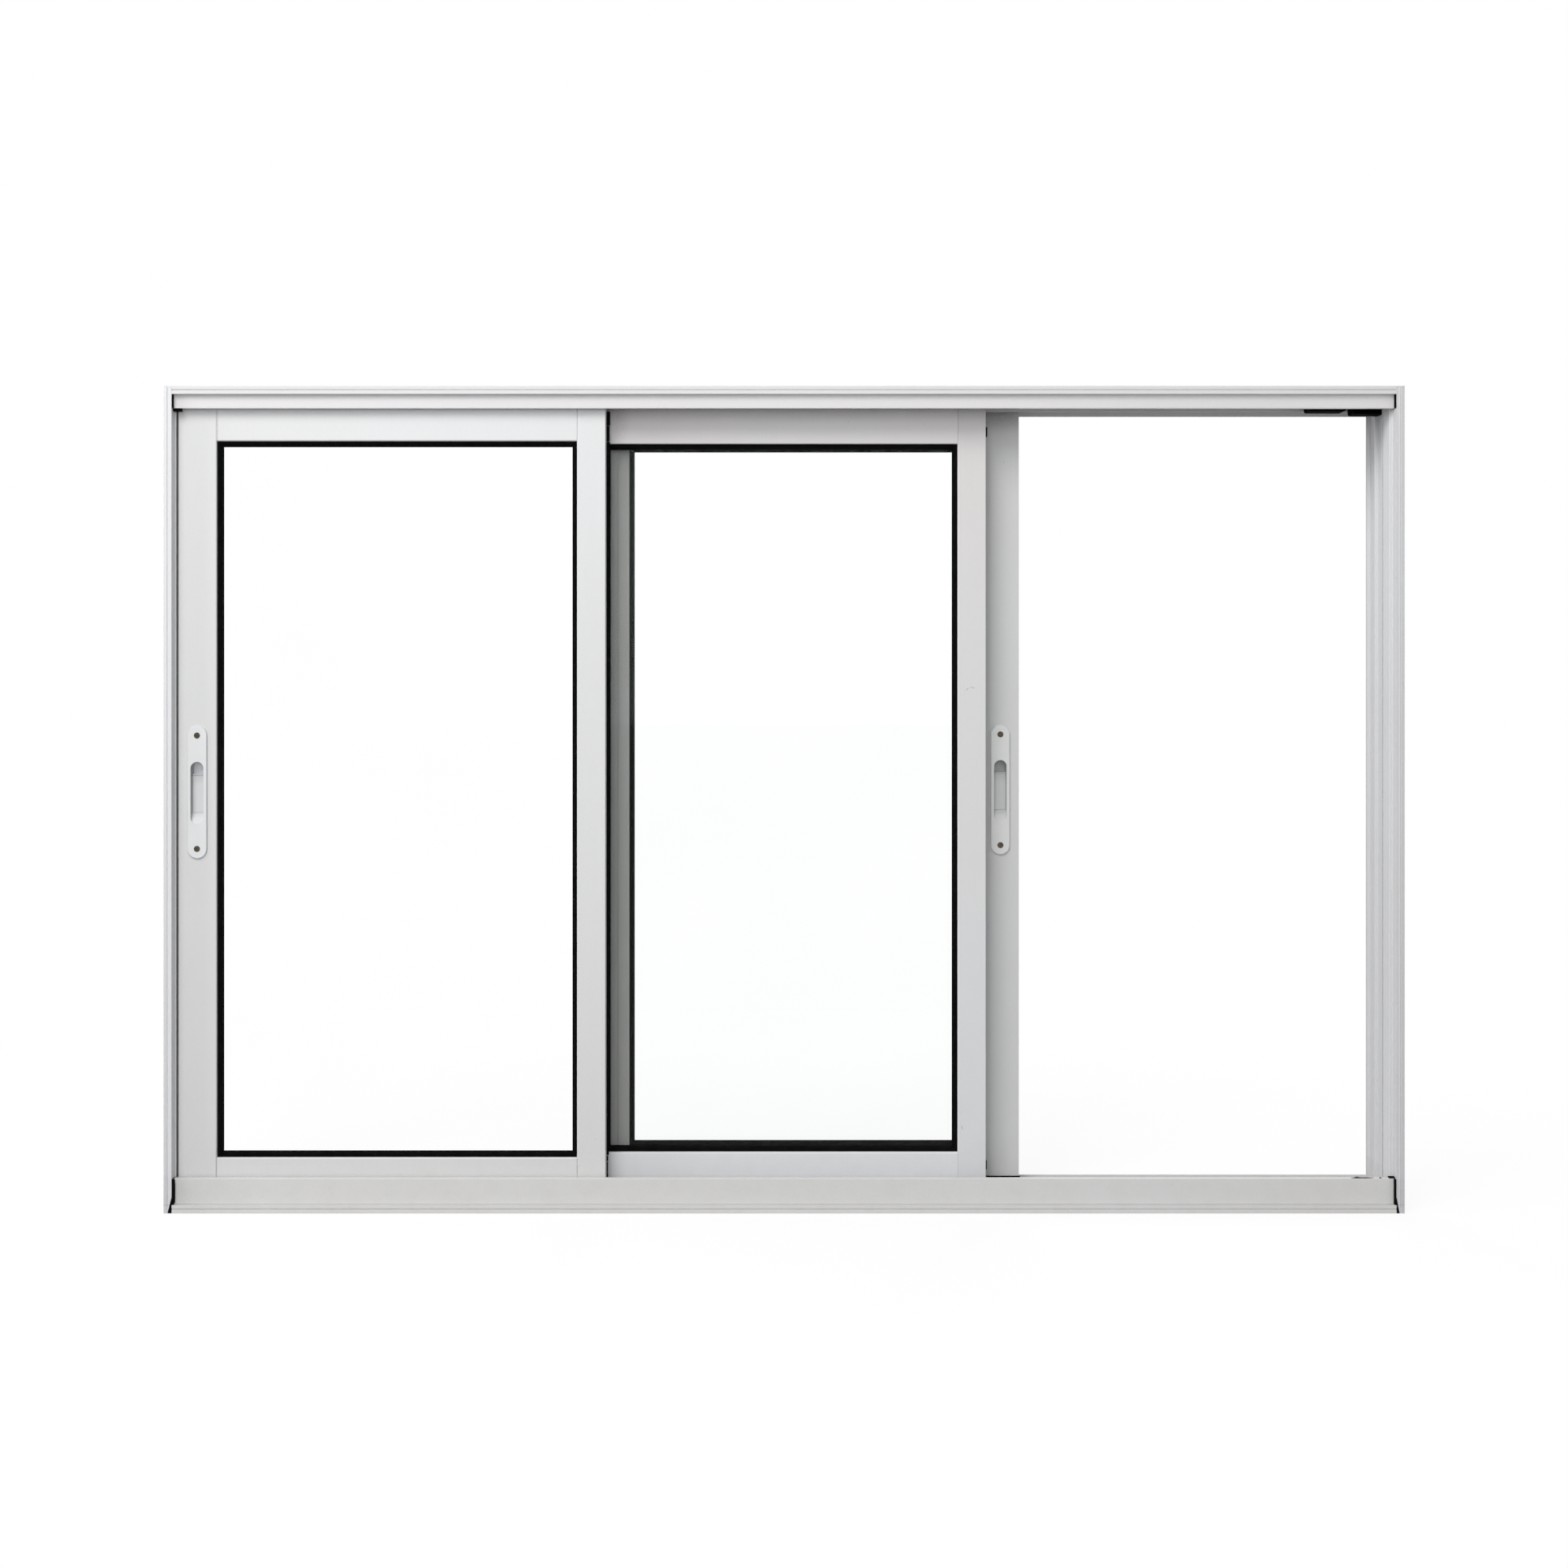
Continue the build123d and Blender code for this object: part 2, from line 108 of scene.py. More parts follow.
def noise(tree, scale, detail=2.0, stretch=(1, 1, 1), rough=0.5):
    node = tree.nodes.new("ShaderNodeTexNoise")
    node.inputs["Scale"].default_value = scale
    node.inputs["Detail"].default_value = detail
    node.inputs["Roughness"].default_value = rough
    tree.links.new(coords(tree, stretch), node.inputs["Vector"])
    return node.outputs["Fac"]


def ramp(tree, value, stops):
    """Colour ramp from grey or colour stops."""
    node = tree.nodes.new("ShaderNodeValToRGB")
    while len(node.color_ramp.elements) < len(stops):
        node.color_ramp.elements.new(0.5)
    for element, (at, colour) in zip(node.color_ramp.elements, stops):
        element.position = at
        element.color = (colour,) * 3 + (1,) if isinstance(colour, float) else (*colour, 1)
    tree.links.new(value, node.inputs["Fac"])
    return node.outputs["Color"]


def map_range(tree, value, start, end, to=(0.0, 1.0), smooth=False):
    """From one end of `to` to the other as the value goes from start to end, level beyond them."""
    node = tree.nodes.new("ShaderNodeMapRange")
    if smooth:
        node.interpolation_type = "SMOOTHSTEP"
    for label, number in zip(("From Min", "From Max", "To Min", "To Max"), (start, end, *to)):
        node.inputs[label].default_value = number
    tree.links.new(value, node.inputs["Value"])
    return node.outputs[0]


def fill_socket(tree, socket, value):
    """A plain number, a colour or another node's output into a socket."""
    if isinstance(value, (int, float)):
        socket.default_value = value
    elif isinstance(value, tuple):
        socket.default_value = (*value, 1)
    else:
        tree.links.new(value, socket)


def math_node(tree, operation, a, b):
    node = tree.nodes.new("ShaderNodeMath")
    node.operation = operation
    for socket, value in zip(node.inputs, (a, b)):
        fill_socket(tree, socket, value)
    return node.outputs[0]


def multiply(tree, colour, by, amount=1.0):
    """Colour multiplied by another, as far as amount says."""
    node = tree.nodes.new("ShaderNodeMix")
    node.data_type = "RGBA"
    node.blend_type = "MULTIPLY"
    for index, value in ((0, amount), (6, colour), (7, by)):
        fill_socket(tree, node.inputs[index], value)
    return node.outputs[2]


def mix_shaders(tree, factor, first, second):
    node = tree.nodes.new("ShaderNodeMixShader")
    for socket, value in zip(node.inputs, (factor, first.outputs[0], second.outputs[0])):
        tree.links.new(value, socket)
    return node


def bump(tree, shader, height, distance, strength):
    node = tree.nodes.new("ShaderNodeBump")
    node.inputs["Distance"].default_value = distance
    node.inputs["Strength"].default_value = strength
    tree.links.new(height, node.inputs["Height"])
    tree.links.new(node.outputs["Normal"], shader.inputs["Normal"])


def stroke(tree, place, size, angle=0):
    """1 in the middle of an oval mark on the surface, falling to 0 at its edge."""
    source = tree.nodes.new("ShaderNodeTexCoord")
    local = tree.nodes.new("ShaderNodeMapping")
    local.vector_type = "TEXTURE"
    local.inputs["Location"].default_value = place
    local.inputs["Rotation"].default_value = (0, math.radians(angle), 0)
    local.inputs["Scale"].default_value = size
    tree.links.new(source.outputs["Object"], local.inputs["Vector"])
    length = tree.nodes.new("ShaderNodeVectorMath")
    length.operation = "LENGTH"
    tree.links.new(local.outputs["Vector"], length.inputs[0])
    return map_range(tree, length.outputs["Value"], 1.0, 0.0, smooth=True)


def seen_directly(tree):
    """1 for what the eye sees, straight, in a reflection or through glass, 0 for light that bounces."""
    path = tree.nodes.new("ShaderNodeLightPath")
    seen = math_node(tree, "MAXIMUM", path.outputs["Is Camera Ray"], path.outputs["Is Transmission Ray"])
    return math_node(tree, "MAXIMUM", seen, path.outputs["Is Glossy Ray"])


def set_colour_and_roughness(tree, shader, colour, roughness):
    tree.links.new(colour, shader.inputs["Base Color"])
    tree.links.new(roughness, shader.inputs["Roughness"])


def set_surface(tree, shader):
    """Show this shader in place of the plain one."""
    output = next(node for node in tree.nodes if node.type == "OUTPUT_MATERIAL")
    tree.links.new(shader.outputs[0], output.inputs[0])


# Materials

dust_top = 0.22
sill_shade_top = 0.0625
# height above the underside and tone: painted shade on the ledge of the sill's fin and on the fin's upper
# half, and a little painted shade up the upstand
sill_shade_tones = [(0.0, 1.0), (0.00563, 1.0), (0.00688, 0.97), (0.01125, 0.97), (0.01163, 0.76), (0.01231, 0.76),
              (0.01269, 0.95), (0.04875, 0.95), (0.05625, 1.0)]


def powder_coat(name, low_tint, high_tint, marks_and_shade, painted_sill_shade=False, fades=()):
    """Satin powder coat: tone that drifts with height, orange peel, dust, either painted shade along the sill
    or rubbed lines, and darker bands and marks, some of them painted shade.
    """
    material, tree, shader = new_material(name)
    height = axis(tree, 2)
    colour = ramp(tree, math_node(tree, "DIVIDE", height, window_height), [(0.1, low_tint), (0.9, high_tint)])
    mottle = ramp(tree, noise(tree, 3.0), [(0.3, (0.985, 0.978, 0.970)), (0.7, (1.0, 1.0, 1.0))])
    colour = multiply(tree, colour, mottle)
    grain = ramp(tree, noise(tree, 420.0), [(0.3, 0.975), (0.7, 1.0)])
    colour = multiply(tree, colour, grain)
    # dust that settles towards the sill, broken up by noise
    cloud = ramp(tree, noise(tree, 40.0, 4.0, rough=0.65), [(0.45, 0.0), (0.8, 1.0)])
    dust = math_node(tree, "MULTIPLY", map_range(tree, height, dust_top, 0.0), cloud)
    colour = multiply(tree, colour, (0.80, 0.78, 0.75), math_node(tree, "MULTIPLY", dust, 0.22))
    for near, far, depth in fades:
        # darker from one side to `near`, clearing towards `far`
        across = map_range(tree, axis(tree, 0), near, far)
        colour = multiply(tree, colour, ramp(tree, across, [(0.0, depth), (1.0, 1.0)]))
    if painted_sill_shade:
        # painted shade on the ledge and upper half of the sill's fin and a little up the upstand, none below
        share = math_node(tree, "DIVIDE", height, sill_shade_top)
        film = ramp(tree, share, [(up / sill_shade_top, tone) for up, tone in sill_shade_tones])
        colour = multiply(tree, colour, film)
    else:
        # faint lines rubbed along the sashes' uprights
        rub = ramp(tree, noise(tree, 1.0, 3.0, (330, 330, 7)), [(0.60, 0.0), (0.66, 1.0), (0.70, 0.0)])
        colour = multiply(tree, colour, (0.72, 0.71, 0.70), math_node(tree, "MULTIPLY", rub, 0.04))
    broken = ramp(tree, noise(tree, 800.0, 3.0, rough=0.6), [(0.32, 0.2), (0.50, 1.0)])
    # marks in a dark grey: scratches, specks and joint lines, and painted shade and shadow where the lists
    # put it
    for place, size, angle, depth in marks_and_shade:
        mark = math_node(tree, "MULTIPLY", stroke(tree, place, size, angle), broken)
        colour = multiply(tree, colour, (0.45, 0.44, 0.43), math_node(tree, "MULTIPLY", mark, depth))
    gloss = ramp(tree, noise(tree, 38.0, 3.0), [(0.3, 0.38), (0.7, 0.46)])
    set_colour_and_roughness(tree, shader, colour, gloss)
    shader.inputs["Specular IOR Level"].default_value = 0.4
    bump(tree, shader, noise(tree, 900.0), 0.00004, 0.4)
    return material


def enamel(name, slider, plate, shaded_thumb_face, cup_painted_tone, right_facing_shade):
    """Enamelled die casting, with painted tones by depth in the latch, painted shadow at the slider's upper
    end, and painted shade on faces that look to the right and up.
    """
    material, tree, shader = new_material(name)
    low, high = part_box(slider)
    before, behind = 0.010, 0.006
    # tone by depth: the plate, then the slider's face darkened as painted shade, then a painted tone deep in
    # the cup, painted light on the front latch and painted shade on the rear one
    depth = map_range(tree, axis(tree, 1), low.y - before, low.y + behind)
    colour = ramp(tree, depth, [(0.35, plate), (0.60, shaded_thumb_face), (0.68, shaded_thumb_face), (0.96, cup_painted_tone)])
    cloud = ramp(tree, noise(tree, 60.0, 3.0), [(0.3, 0.98), (0.7, 1.0)])
    colour = multiply(tree, colour, cloud)
    wear = ramp(tree, noise(tree, 300.0, 4.0, rough=0.7), [(0.6, 1.0), (0.8, 0.94)])
    colour = multiply(tree, colour, wear)
    facing = tree.nodes.new("ShaderNodeNewGeometry")
    sides = tree.nodes.new("ShaderNodeSeparateXYZ")
    tree.links.new(facing.outputs["Normal"], sides.inputs[0])
    # painted shade on faces that look to the right, then on faces that look up
    colour = multiply(tree, colour, ramp(tree, sides.outputs[0], [(0.6, 1.0), (0.9, right_facing_shade)]))
    colour = multiply(tree, colour, ramp(tree, sides.outputs[2], [(0.2, 1.0), (0.5, 0.90)]))
    # painted shadow at the slider's upper end
    upper_end_shadow = stroke(tree, ((low.x + high.x) / 2, low.y, high.z), (0.03, 0.004, 0.020))
    colour = multiply(tree, colour, (0.80, 0.80, 0.80), upper_end_shadow)
    gloss = ramp(tree, noise(tree, 120.0), [(0.3, 0.30), (0.7, 0.40)])
    set_colour_and_roughness(tree, shader, colour, gloss)
    bump(tree, shader, noise(tree, 700.0, 1.0), 0.00001, 0.2)
    return material


def black(name, low, high, rough, scale, sheen=0.06):
    """Matt black rubber, plastic or pile with a greyish bloom."""
    material, tree, shader = new_material(name)
    bloom = [(0.35, (low, low, low)), (0.75, (high, high, high * 1.05))]
    tone = ramp(tree, noise(tree, scale, 4.0, rough=0.6), bloom)
    spread = ramp(tree, noise(tree, scale * 3), [(0.3, rough), (0.7, rough + 0.15)])
    set_colour_and_roughness(tree, shader, tone, spread)
    shader.inputs["Specular IOR Level"].default_value = sheen
    bump(tree, shader, noise(tree, 1200.0, 1.0), 0.00004, 0.3)
    return material


def nylon():
    """Natural nylon of the roller wheels."""
    material, tree, shader = new_material("roller_nylon_natural")
    tone = ramp(tree, noise(tree, 90.0, 3.0), [(0.3, (0.70, 0.69, 0.65)), (0.7, (0.80, 0.79, 0.75))])
    gloss = ramp(tree, noise(tree, 200.0), [(0.3, 0.4), (0.7, 0.55)])
    set_colour_and_roughness(tree, shader, tone, gloss)
    return material


def glass():
    """Clear float glass with a faint green tint and a film of dust, which lets light through."""
    material, tree, shader = new_material("clear_glass_float")
    tone = ramp(tree, noise(tree, 5.0, 3.0), [(0.3, (0.988, 0.997, 0.991)), (0.7, (0.994, 1.0, 0.996))])
    haze = ramp(tree, noise(tree, 12.0, 4.0), [(0.5, 0.0), (0.8, 0.02)])
    set_colour_and_roughness(tree, shader, tone, haze)
    shader.inputs["Transmission Weight"].default_value = 1.0
    shader.inputs["IOR"].default_value = 1.46
    shader.inputs["Specular Tint"].default_value = (0.14, 0.15, 0.145, 1)
    clear = tree.nodes.new("ShaderNodeBsdfTransparent")
    clear.inputs["Color"].default_value = (0.80, 0.805, 0.79, 1)
    path = tree.nodes.new("ShaderNodeLightPath")
    passing = math_node(tree, "MAXIMUM", path.outputs["Is Shadow Ray"], path.outputs["Is Diffuse Ray"])
    set_surface(tree, mix_shaders(tree, passing, shader, clear))
    return material


def bronze():
    """Dull plated screws, coloured darker than the metal alone, partly as painted shade of the countersunk
    hole round the head.
    """
    material, tree, shader = new_material("screw_bronze")
    tone = ramp(tree, noise(tree, 500.0, 3.0), [(0.3, (0.05, 0.042, 0.03)), (0.7, (0.15, 0.125, 0.09))])
    gloss = ramp(tree, noise(tree, 900.0), [(0.3, 0.35), (0.7, 0.55)])
    set_colour_and_roughness(tree, shader, tone, gloss)
    shader.inputs["Metallic"].default_value = 0.8
    return material


# Marks, painted shade and tones of this window: a mark has a place, half sizes, a slope in degrees and a
# depth

line_reach = 0.004
face_reach = 0.01
# half length that keeps a line even over the jamb's whole height
even_line = 4.0


def on_face(face, rows):
    """Marks on a sash's front face, from rows of x, z, half width, half height, slope and depth."""
    return [((x, face, z), (wide, face_reach, tall), slope, depth) for x, z, wide, tall, slope, depth in rows]


# darker, in blotches, towards the sill's left end
sill_end_darkening = [((-0.8900, frame_face, 0.030), (0.1500, 0.060, 0.060), 0, 0.22)]
cover_line = cover_back + 0.0010
# dark lines down the jambs: painted shade at the back of the right jamb's cover, at its fin's inner edge and
# at its rear edge, dark lines near both fins' outer edges, and the head's painted shadow high on the right
# jamb's rear
jamb_lines_and_shadow = [((jamb_wall + 0.0012, cover_line, mid_height), (0.0040, line_reach, even_line), 0, 0.45),
              ((jamb_edge - 0.0108, frame_face, mid_height), (0.0030, line_reach, even_line), 0, 0.36),
              ((jamb_edge - 0.0028, frame_face, mid_height), (0.0024, line_reach, even_line), 0, 0.50),
              ((jamb_wall, frame_back - 0.0020, mid_height), (0.0020, line_reach, even_line), 0, 0.45),
              ((jamb_wall + 0.0027, 0.0250, window_height - 0.015), (0.0200, 0.040, 0.065), 0, 0.30),
              ((0.0028 - jamb_edge, frame_face, 0.1), (0.0020, line_reach, 0.9), 0, 0.36)]
# joint lines of the lock stile, then scratches
front_marks = on_face(front_face, [(front_joint - 0.0005, 0.0670, 0.0018, 0.0600, 0, 0.5),
                                   (front_joint + 0.0010, 1.1370, 0.0016, 0.0600, 0, 0.6),
                                   (-0.2742, 0.1031, 0.0022, 0.0010, -15, 0.5),
                                   (-0.2981, 0.0641, 0.0030, 0.0009, -40, 0.6)])
# scratches on the right stile, specks on the top rail, painted shadow at the upper left where the front sash
# and the head shade it
middle_marks_and_shadow = on_face(middle_low.y, [(0.2720, 0.7602, 0.0042, 0.0010, -50, 0.9),
                                      (0.2795, 0.7624, 0.0060, 0.0010, 12, 0.9),
                                      (0.2642, 0.1124, 0.0044, 0.0012, 67, 0.9),
                                      (0.0970, 1.1550, 0.0014, 0.0010, 0, 0.8),
                                      (0.1054, 1.1454, 0.0012, 0.0009, 0, 0.8),
                                      (0.2084, 1.1515, 0.0010, 0.0014, 0, 0.8),
                                      (0.1845, 1.1431, 0.0011, 0.0009, 0, 0.6),
                                      (-0.2490, 1.1650, 0.0300, 0.0600, 0, 0.5)])
# a speck, and painted shadow under the head
rear_marks_and_shadow = on_face(rear_lock_low.y, [(0.3305, 1.0991, 0.0013, 0.0013, 0, 0.8),
                                       (0.3250, 1.1800, 0.0700, 0.0500, 0, 0.75)])
# the middle sash's right stile is duller than its rails, and the rear stiles carry painted shadow on their
# left, where the sashes in front of them shade them
middle_fades = [(middle_low.x + 0.0008, middle_low.x - 0.0002, 0.94)]
rear_painted_shadows = [(rear_hook_low.x + 0.0065, rear_hook_high.x - 0.0050, 0.80),
              (rear_lock_low.x + 0.0030, rear_lock_high.x - 0.0028, 0.82)]

# tints at the foot and at the top; the rear sash's darker tints are painted shade, and the middle sash's
# darker, warmer top is partly painted shade under the head
frame_tints = ((0.698, 0.690, 0.682), (0.676, 0.663, 0.669))
jamb_tints = ((0.674, 0.675, 0.688), (0.691, 0.694, 0.704))
front_tints = ((0.664, 0.660, 0.659), (0.688, 0.690, 0.694))
middle_tints = ((0.718, 0.726, 0.739), (0.690, 0.670, 0.666))
rear_shaded_tints = ((0.602, 0.604, 0.604), (0.594, 0.596, 0.595))

finishes = {
    "frame": powder_coat("powder_coat_head_and_sill", *frame_tints, sill_end_darkening, painted_sill_shade=True),
    "jamb": powder_coat("powder_coat_jambs", *jamb_tints, jamb_lines_and_shadow, painted_sill_shade=True),
    "front": powder_coat("powder_coat_front_sash", *front_tints, front_marks),
    "middle": powder_coat("powder_coat_middle_sash", *middle_tints, middle_marks_and_shadow, fades=middle_fades),
    "rear": powder_coat("powder_coat_rear_sash", *rear_shaded_tints, rear_marks_and_shadow, fades=rear_painted_shadows),
}
slot_material = {
    "clear_glass": glass(),
    "black_rubber": black("black_rubber_glazing", 0.0012, 0.0040, 0.70, 60.0),
    "black_plastic": black("black_plastic_moulded", 0.0006, 0.0030, 0.70, 110.0, 0.01),
    "roller_nylon": nylon(),
}
# the rear latch's plate is darker than the front one's as painted shade
latch_finish = {
    "front": enamel("latch_enamel_front", "front_sash_latch_slider", plate=(0.716, 0.724, 0.726),
                    shaded_thumb_face=(0.635, 0.642, 0.650), cup_painted_tone=(0.80, 0.80, 0.82), right_facing_shade=0.55),
    "rear": enamel("latch_enamel_rear", "rear_sash_latch_slider", plate=(0.622, 0.626, 0.616),
                   shaded_thumb_face=(0.530, 0.536, 0.538), cup_painted_tone=(0.42, 0.42, 0.42), right_facing_shade=1.0),
}
screw_metal = bronze()
pile_black = black("pile_fibre_black", 0.0015, 0.008, 0.8, 200.0)

for subpart in frame["record"]["subparts"]:
    name, slot = subpart["node"], subpart["material_slot"]
    family = name.split("_")[0]
    material = slot_material.get(slot) or finishes.get(family, finishes["jamb"])
    if slot == "latch_enamel":
        material = latch_finish[family]
    node = nodes[name]
    node.data.materials.clear()
    node.data.materials.append(material)


# Small fittings


def add_piece(name, mesh_maker, material):
    """New piece from a bmesh, riding on the part."""
    mesh = bpy.data.meshes.new(name)
    shape = bmesh.new()
    mesh_maker(shape)
    bmesh.ops.recalc_face_normals(shape, faces=shape.faces)
    shape.to_mesh(mesh)
    shape.free()
    mesh.materials.append(material)
    piece = bpy.data.objects.new(name, mesh)
    scene.collection.objects.link(piece)
    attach(piece, "root")


def lathe(shape, profile, place, steps=40):
    """Turn a profile of (radius, height towards the room) pairs about the Y axis at a place."""
    turns = [2 * math.pi * i / steps for i in range(steps)]
    rings = []
    for radius, height in profile:
        points = [Vector((radius * math.cos(turn), -height, radius * math.sin(turn))) for turn in turns]
        rings.append([shape.verts.new(place + point) for point in points])
    for lower, upper in zip(rings[:-1], rings[1:]):
        for i in range(steps):
            j = (i + 1) % steps
            shape.faces.new((lower[i], lower[j], upper[j], upper[i]))
    shape.faces.new(rings[-1])
    shape.faces.new(tuple(reversed(rings[0])))


def brick(shape, low, high):
    """Block between two corners."""
    corners = [shape.verts.new((x, y, z)) for x in (low[0], high[0]) for y in (low[1], high[1])
               for z in (low[2], high[2])]
    for face in ((0, 1, 3, 2), (4, 6, 7, 5), (0, 4, 5, 1), (2, 3, 7, 6), (0, 2, 6, 4), (1, 5, 7, 3)):
        shape.faces.new([corners[i] for i in face])


def rounded_block(shape, low, high, radius):
    """Small moulded block with rounded edges."""
    brick(shape, low, high)
    bmesh.ops.bevel(shape, geom=list(shape.edges), offset=radius, segments=3, affect="EDGES", profile=0.5)


# (radius, height) of the screw's edge, rim and dished face, then half sizes and heights of the bars
screw_profile = [(0.0045, -0.0002), (0.0045, 0.0002), (0.0042, 0.0005), (0.0029, 0.0003), (0.0026, 0.0001)]
bar_length, bar_width = 0.0022, 0.0004
bar_foot, bar_top = 0.0001, 0.00045


def screw(shape, place, turn):
    """Screw head: a rim, a dished face and a cross of two bars in it."""
    lathe(shape, screw_profile, place)
    for quarter in range(2):
        swing = Matrix.Rotation(turn + quarter * math.pi / 2, 4, "Y")
        first = len(shape.verts)
        brick(shape, (-bar_length, -bar_top, -bar_width), (bar_length, -bar_foot, bar_width))
        shape.verts.ensure_lookup_table()
        for vertex in shape.verts[first:]:
            vertex.co = place + swing @ vertex.co


screw_offset = 0.0827
for sash, turns in (("front_sash", (0.3, 1.1)), ("rear_sash", (0.8, 0.15))):
    low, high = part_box(sash + "_latch_plate")
    middle = (low + high) / 2
    for label, end, turn in zip(("lower", "upper"), (-1, 1), turns):
        place = Vector((middle.x, low.y, middle.z + end * screw_offset))
        add_piece(f"{sash}_latch_screw_{label}",
                  lambda shape: screw(shape, place, turn), screw_metal)

# half widths of the pile's backing, tuft roots and tuft tips
backing_half, root_half, tip_half = 0.0022, 0.0018, 0.0008
backing_thick = 0.0006
tip_stray = 4e-4
tip_taper = 0.0004
shortest_tuft = 0.004


def pile(shape, x, y, z0, z1, reaches, seed):
    """Weather pile: a thin backing and tufts of fibre that stand out from it along X."""
    rng = random.Random(seed)
    brick(shape, (x, y - backing_half, z0), (x + backing_thick, y + backing_half, z1))
    z = z0
    while z < z1 - shortest_tuft:
        top = min(z + rng.uniform(0.006, 0.024), z1)
        share = (z - z0) / (z1 - z0)
        reach = (reaches[0] + share * (reaches[1] - reaches[0])) * rng.uniform(0.72, 1.0)
        base = [shape.verts.new((x, y + s * root_half, h)) for h in (z, top) for s in (-1, 1)]
        tip = [shape.verts.new((x + reach, y + s * tip_half + rng.uniform(-tip_stray, tip_stray), h))
               for h in (z + tip_taper, top - tip_taper) for s in (-1, 1)]
        for ring in (base, tip):
            shape.faces.new((ring[0], ring[1], ring[3], ring[2]))
        for a, b in ((0, 1), (1, 3), (3, 2), (2, 0)):
            shape.faces.new((base[a], base[b], tip[b], tip[a]))
        z = top + rng.uniform(0.0002, 0.0010)


hook_setback = 0.002
pile_inset = 0.003
pile_foot, pile_top = 0.036, 1.1728
pile_reaches = (0.0052, 0.0082)
add_piece("front_sash_weather_pile",
          lambda shape: pile(shape, front_hook.x - hook_setback, front_hook.y - pile_inset,
                             pile_foot, pile_top, pile_reaches, seed=7),
          pile_black)


def smear(shape, start, end, side, rise, heights, width):
    """Flat ridge of old sealant from start to end, swelling and thinning along its length."""
    arc_steps = 8
    arc = [math.pi * k / arc_steps for k in range(arc_steps + 1)]
    rows = []
    for i, tall in enumerate(heights):
        place = start.lerp(end, i / (len(heights) - 1))
        half = width / 2 * (0.35 + 0.65 * min(tall / max(heights) * 1.6, 1.0))
        points = [place + half * math.cos(a) * side + tall * math.sin(a) * rise for a in arc]
        rows.append([shape.verts.new(point) for point in points])
    for near, far in zip(rows[:-1], rows[1:]):
        for k in range(len(arc)):
            j = (k + 1) % len(arc)
            shape.faces.new((near[k], near[j], far[j], far[k]))
    shape.faces.new(rows[0])
    shape.faces.new(tuple(reversed(rows[-1])))


along, inward, upward, roomward = Vector((1, 0, 0)), Vector((0, 1, 0)), Vector((0, 0, 1)), Vector((0, -1, 0))
upstand_front = frame_face + 0.007
sealant_line = upstand_front + 0.0025
sealant_width = 0.0035
for label, x0, x1, heights in (
        ("long", 0.8250, 0.8575, (0.0002, 0.0007, 0.0020, 0.0011, 0.0009, 0.0010, 0.0009, 0.0006, 0.0002)),
        ("crumb", 0.8660, 0.8695, (0.0002, 0.0010, 0.0013, 0.0008, 0.0002))):
    start, end = (Vector((x, sealant_line, sill_high.z)) for x in (x0, x1))
    add_piece(f"sill_sealant_{label}",
              lambda shape: smear(shape, start, end, inward, upward, heights, sealant_width),
              slot_material["black_rubber"])

corner_inset = 0.0023
corner_foot, corner_drop = 0.0135, 0.0015
corner_heights = (0.0003, 0.0009, 0.0010, 0.0008, 0.0009, 0.0010, 0.0003)
corner_width = 0.0022
corner_top = sill_high.z - corner_drop
start, end = (Vector((sill_low.x + corner_inset, upstand_front, z)) for z in (corner_foot, corner_top))
add_piece("left_corner_sealant",
          lambda shape: smear(shape, start, end, along, roomward, corner_heights, corner_width),
          slot_material["black_rubber"])

pad_y = middle_high.y - 0.010
pad_half = 0.004
pad_rounding = 0.0010
for label, z0, z1, reach in (("upper", 1.1354, 1.1499, 0.0046), ("lower", 0.0461, 0.0594, 0.0038)):
    add_piece(f"middle_sash_{label}_end_pad",
              lambda shape: rounded_block(shape, (middle_high.x, pad_y - pad_half, z0),
                                          (middle_high.x + reach, pad_y + pad_half, z1), pad_rounding),
              slot_material["black_plastic"])

# a black strip at the rear stile's foot: painted shadow of the gap under the stile and on the sill beside it
foot_z0, foot_z1 = 0.0290, 0.0332
foot_low = (rear_lock_low.x + 0.003, rear_lock_low.y - 0.0020, foot_z0)
foot_high = (rear_lock_high.x + 0.0015, rear_lock_low.y, foot_z1)
foot_rounding = 0.0008
add_piece("rear_sash_foot_shadow_strip",
          lambda shape: rounded_block(shape, foot_low, foot_high, foot_rounding),
          slot_material["black_plastic"])


# Floor, background, light and camera


def paper_white(name, share):
    """Pale matt floor: white paper with a soft shadow to the eye, a duller bounce for the light."""
    material, tree, shader = new_material(name)
    tone = ramp(tree, noise(tree, 3.0), [(0.3, 0.31), (0.7, 0.33)])
    tree.links.new(tone, shader.inputs["Base Color"])
    shader.inputs["Roughness"].default_value = 0.9
    shader.inputs["Specular IOR Level"].default_value = 0.0
    bright = tree.nodes.new("ShaderNodeBsdfDiffuse")
    bright.inputs["Color"].default_value = (0.98, 0.98, 0.98, 1)
    glow = tree.nodes.new("ShaderNodeEmission")
    glow.inputs["Strength"].default_value = 1.0
    # the shadow's paper runs out into plain white away from the window
    near = stroke(tree, (0, 0, 0), (2.4, 1.8, 1.0))
    away = map_range(tree, near, 0.0, 1.0, to=(1.0, share), smooth=True)
    paper = mix_shaders(tree, away, bright, glow)
    set_surface(tree, mix_shaders(tree, seen_directly(tree), shader, paper))
    return material


